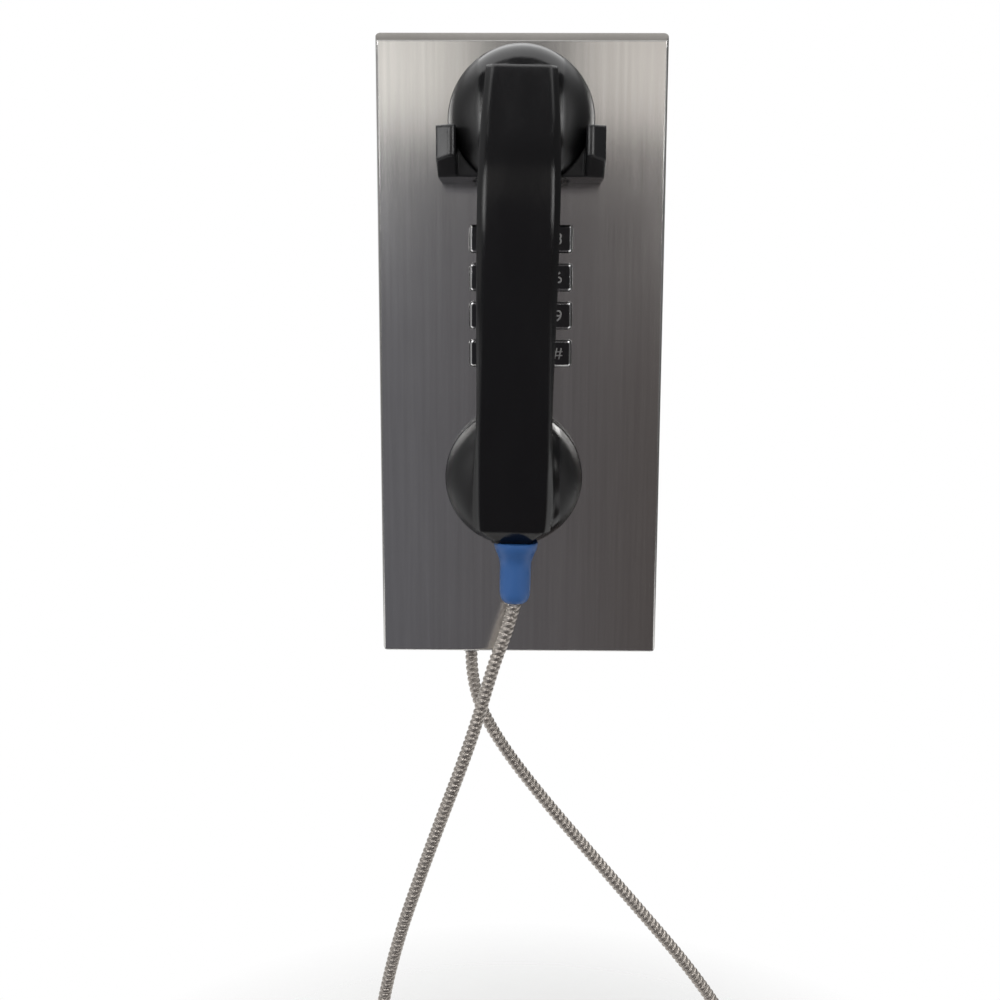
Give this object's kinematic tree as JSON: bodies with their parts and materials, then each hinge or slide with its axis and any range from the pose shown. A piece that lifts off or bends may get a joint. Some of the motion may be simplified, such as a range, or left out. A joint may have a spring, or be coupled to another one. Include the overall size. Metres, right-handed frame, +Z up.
{
  "type": "payphone",
  "caption": "Armoured wall telephone: folded stainless housing, metal keypad, black handset hanging in a pronged cradle, steel-armoured cord.",
  "frame": {"origin": "on the wall plane, at the centre of the four wall bolt holes", "axes": "+Z up, +X right as seen from the front, -Y out of the wall towards the user"},
  "size_m": [0.1915, 0.1113, 0.6071],
  "materials": {
    "brushed_stainless": "vertical brushed grain",
    "plain_stainless": "mill finish",
    "fastener_steel": "zinc plated",
    "cast_zinc": "cast",
    "chromed_zinc": "polished",
    "silicone": "matte",
    "circuit_board": "solder mask",
    "black_plastic": "polished moulding",
    "component_black": "moulded",
    "component_green": "moulded",
    "component_clear": "moulded",
    "guard_steel": "perforated",
    "blue_plastic": "satin moulding",
    "bushing_steel": "turned",
    "armour_steel": "interlocked strip"
  },
  "bodies": {
    "housing": {"housing_cover": "brushed_stainless", "back_plate": "plain_stainless", "hook_bracket": "plain_stainless", "cover_screws": "fastener_steel", "switch_pins": "fastener_steel", "keypad_studs": "fastener_steel", "keypad_nuts": "fastener_steel", "cradle_screws": "fastener_steel", "hook_pin": "fastener_steel", "board_standoffs": "fastener_steel", "board_screws": "fastener_steel", "hook_spring": "fastener_steel", "keypad_frame": "cast_zinc", "key_mat": "silicone", "keypad_board": "circuit_board", "main_board": "circuit_board", "cradle_body": "black_plastic", "hook_switch": "component_black", "ringer": "component_black", "terminal_block": "component_green", "line_jack": "component_clear", "cord_bushing": "bushing_steel", "cord_nut": "bushing_steel", "handset_cord": "armour_steel"},
    "handset": {"handset_shell": "black_plastic", "ear_cap": "black_plastic", "ear_guard": "guard_steel", "receiver_capsule": "component_black", "mouth_cap": "black_plastic", "mouth_guard": "guard_steel", "microphone_capsule": "component_black", "strain_relief": "blue_plastic"},
    "hook_lever": {"hook_lever": "plain_stainless"},
    "key_1": {"key_1": "chromed_zinc"},
    "key_2": {"key_2": "chromed_zinc"},
    "key_3": {"key_3": "chromed_zinc"},
    "key_4": {"key_4": "chromed_zinc"},
    "key_5": {"key_5": "chromed_zinc"},
    "key_6": {"key_6": "chromed_zinc"},
    "key_7": {"key_7": "chromed_zinc"},
    "key_8": {"key_8": "chromed_zinc"},
    "key_9": {"key_9": "chromed_zinc"},
    "key_star": {"key_star": "chromed_zinc"},
    "key_0": {"key_0": "chromed_zinc"},
    "key_hash": {"key_hash": "chromed_zinc"}
  },
  "joints": [
    {"name": "handset_lift", "type": "slide", "parent": "housing", "child": "handset", "axis": [0, 0, 1], "range_m": [0, 0.07]},
    {"name": "hook_swing", "type": "hinge", "parent": "housing", "child": "hook_lever", "pos_m": [0, -0.0389, 0.0684], "axis": [-1, 0, 0], "range_deg": [0, 12], "stiffness_Nm_per_rad": 0.02, "springref_deg": 34.38},
    {"name": "key_1_press", "type": "slide", "parent": "housing", "child": "key_1", "axis": [0, 1, 0], "range_m": [0, 0.0009], "stiffness_N_per_m": 800, "springref_m": -0.0004},
    {"name": "key_2_press", "type": "slide", "parent": "housing", "child": "key_2", "axis": [0, 1, 0], "range_m": [0, 0.0009], "stiffness_N_per_m": 800, "springref_m": -0.0004},
    {"name": "key_3_press", "type": "slide", "parent": "housing", "child": "key_3", "axis": [0, 1, 0], "range_m": [0, 0.0009], "stiffness_N_per_m": 800, "springref_m": -0.0004},
    {"name": "key_4_press", "type": "slide", "parent": "housing", "child": "key_4", "axis": [0, 1, 0], "range_m": [0, 0.0009], "stiffness_N_per_m": 800, "springref_m": -0.0004},
    {"name": "key_5_press", "type": "slide", "parent": "housing", "child": "key_5", "axis": [0, 1, 0], "range_m": [0, 0.0009], "stiffness_N_per_m": 800, "springref_m": -0.0004},
    {"name": "key_6_press", "type": "slide", "parent": "housing", "child": "key_6", "axis": [0, 1, 0], "range_m": [0, 0.0009], "stiffness_N_per_m": 800, "springref_m": -0.0004},
    {"name": "key_7_press", "type": "slide", "parent": "housing", "child": "key_7", "axis": [0, 1, 0], "range_m": [0, 0.0009], "stiffness_N_per_m": 800, "springref_m": -0.0004},
    {"name": "key_8_press", "type": "slide", "parent": "housing", "child": "key_8", "axis": [0, 1, 0], "range_m": [0, 0.0009], "stiffness_N_per_m": 800, "springref_m": -0.0004},
    {"name": "key_9_press", "type": "slide", "parent": "housing", "child": "key_9", "axis": [0, 1, 0], "range_m": [0, 0.0009], "stiffness_N_per_m": 800, "springref_m": -0.0004},
    {"name": "key_star_press", "type": "slide", "parent": "housing", "child": "key_star", "axis": [0, 1, 0], "range_m": [0, 0.0009], "stiffness_N_per_m": 800, "springref_m": -0.0004},
    {"name": "key_0_press", "type": "slide", "parent": "housing", "child": "key_0", "axis": [0, 1, 0], "range_m": [0, 0.0009], "stiffness_N_per_m": 800, "springref_m": -0.0004},
    {"name": "key_hash_press", "type": "slide", "parent": "housing", "child": "key_hash", "axis": [0, 1, 0], "range_m": [0, 0.0009], "stiffness_N_per_m": 800, "springref_m": -0.0004}
  ],
  "couplings": [
    {"joint": "hook_swing", "follows": "handset_lift", "rad_per_m": 2.99}
  ]
}
